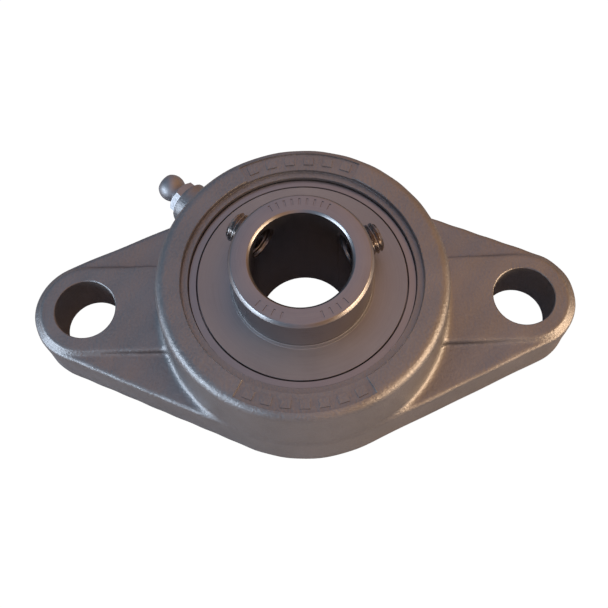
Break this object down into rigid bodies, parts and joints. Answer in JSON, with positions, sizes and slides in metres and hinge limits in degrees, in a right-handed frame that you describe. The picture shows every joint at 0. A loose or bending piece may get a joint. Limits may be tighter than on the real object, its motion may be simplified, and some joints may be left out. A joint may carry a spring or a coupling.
{
  "type": "flange mount bearing",
  "caption": "Rhombus flange housing bolted to a wall, holding a self-aligning ball bearing whose wide inner ring grips a shaft with set screws.",
  "frame": {"origin": "middle of the shaft hole on the mounting face, which is the housing's flat back", "axes": "+Z along the shaft axis, out of the front; +X through the two bolt holes; +Y completes the right-handed frame"},
  "size_m": [0.1122, 0.059, 0.0333],
  "materials": {
    "cast_steel": "cast stainless steel, bead blasted to a fine even matt grain",
    "ring_steel": "ground and turned stainless bearing steel, satin",
    "sheet_steel": "pressed stainless sheet, satin",
    "ball_steel": "polished ball steel",
    "cage_steel": "pressed stainless strip",
    "screw_steel": "dark oiled threaded steel",
    "plated_steel": "bright zinc-nickel plate",
    "seal_rubber": "moulded nitrile rubber, matt black"
  },
  "bodies": {
    "housing": {"housing": "cast_steel", "grease_nipple": "plated_steel", "nipple_spring": "ball_steel"},
    "outer_ring": {"outer_ring": "ring_steel", "seal_case_front": "sheet_steel", "seal_case_rear": "sheet_steel", "seal_lip_front": "seal_rubber", "seal_lip_rear": "seal_rubber"},
    "inner_ring": {"inner_ring": "ring_steel", "slinger_front": "sheet_steel", "slinger_rear": "sheet_steel"},
    "cage": {"cage_front": "cage_steel", "cage_rear": "cage_steel", "cage_rivet_1": "cage_steel", "cage_rivet_2": "cage_steel", "cage_rivet_3": "cage_steel", "cage_rivet_4": "cage_steel", "cage_rivet_5": "cage_steel", "cage_rivet_6": "cage_steel", "cage_rivet_7": "cage_steel", "cage_rivet_8": "cage_steel"},
    "ball_1": {"ball_1": "ball_steel"},
    "ball_2": {"ball_2": "ball_steel"},
    "ball_3": {"ball_3": "ball_steel"},
    "ball_4": {"ball_4": "ball_steel"},
    "ball_5": {"ball_5": "ball_steel"},
    "ball_6": {"ball_6": "ball_steel"},
    "ball_7": {"ball_7": "ball_steel"},
    "ball_8": {"ball_8": "ball_steel"},
    "set_screw_1": {"set_screw_1": "screw_steel"},
    "set_screw_2": {"set_screw_2": "screw_steel"},
    "nipple_check_ball": {"nipple_check_ball": "ball_steel"}
  },
  "joints": [
    {"name": "insert_tilt", "type": "hinge", "parent": "housing", "child": "outer_ring", "pos_m": [0, 0, 0.015], "axis": [1, 0, 0], "range_deg": [-2, 2]},
    {"name": "shaft_spin", "type": "hinge", "parent": "outer_ring", "child": "inner_ring", "pos_m": [0, 0, 0.015], "axis": [0, 0, 1], "continuous": true},
    {"name": "cage_spin", "type": "hinge", "parent": "outer_ring", "child": "cage", "pos_m": [0, 0, 0.015], "axis": [0, 0, 1], "continuous": true},
    {"name": "ball_1_spin", "type": "hinge", "parent": "cage", "child": "ball_1", "pos_m": [0.01675, 0, 0.015], "axis": [0, 0, 1], "continuous": true},
    {"name": "ball_2_spin", "type": "hinge", "parent": "cage", "child": "ball_2", "pos_m": [0.01184, 0.01184, 0.015], "axis": [0, 0, 1], "continuous": true},
    {"name": "ball_3_spin", "type": "hinge", "parent": "cage", "child": "ball_3", "pos_m": [0, 0.01675, 0.015], "axis": [0, 0, 1], "continuous": true},
    {"name": "ball_4_spin", "type": "hinge", "parent": "cage", "child": "ball_4", "pos_m": [-0.01184, 0.01184, 0.015], "axis": [0, 0, 1], "continuous": true},
    {"name": "ball_5_spin", "type": "hinge", "parent": "cage", "child": "ball_5", "pos_m": [-0.01675, 0, 0.015], "axis": [0, 0, 1], "continuous": true},
    {"name": "ball_6_spin", "type": "hinge", "parent": "cage", "child": "ball_6", "pos_m": [-0.01184, -0.01184, 0.015], "axis": [0, 0, 1], "continuous": true},
    {"name": "ball_7_spin", "type": "hinge", "parent": "cage", "child": "ball_7", "pos_m": [0, -0.01675, 0.015], "axis": [0, 0, 1], "continuous": true},
    {"name": "ball_8_spin", "type": "hinge", "parent": "cage", "child": "ball_8", "pos_m": [0.01184, -0.01184, 0.015], "axis": [0, 0, 1], "continuous": true},
    {"name": "set_screw_1_travel", "type": "slide", "parent": "inner_ring", "child": "set_screw_1", "axis": [0.9205, 0.3907, 0], "range_m": [-0.0004, 0.003]},
    {"name": "set_screw_2_travel", "type": "slide", "parent": "inner_ring", "child": "set_screw_2", "axis": [-0.7986, 0.6018, 0], "range_m": [-0.0004, 0.003]},
    {"name": "nipple_valve", "type": "slide", "parent": "housing", "child": "nipple_check_ball", "axis": [0.7254, -0.6884, 0], "range_m": [0, 0.0005], "stiffness_N_per_m": 100, "springref_m": -0.0003}
  ],
  "couplings": [
    {"joint": "cage_spin", "follows": "shaft_spin", "ratio": 0.38152},
    {"joint": "ball_1_spin", "follows": "shaft_spin", "ratio": -1.9916},
    {"joint": "ball_2_spin", "follows": "shaft_spin", "ratio": -1.9916},
    {"joint": "ball_3_spin", "follows": "shaft_spin", "ratio": -1.9916},
    {"joint": "ball_4_spin", "follows": "shaft_spin", "ratio": -1.9916},
    {"joint": "ball_5_spin", "follows": "shaft_spin", "ratio": -1.9916},
    {"joint": "ball_6_spin", "follows": "shaft_spin", "ratio": -1.9916},
    {"joint": "ball_7_spin", "follows": "shaft_spin", "ratio": -1.9916},
    {"joint": "ball_8_spin", "follows": "shaft_spin", "ratio": -1.9916}
  ]
}
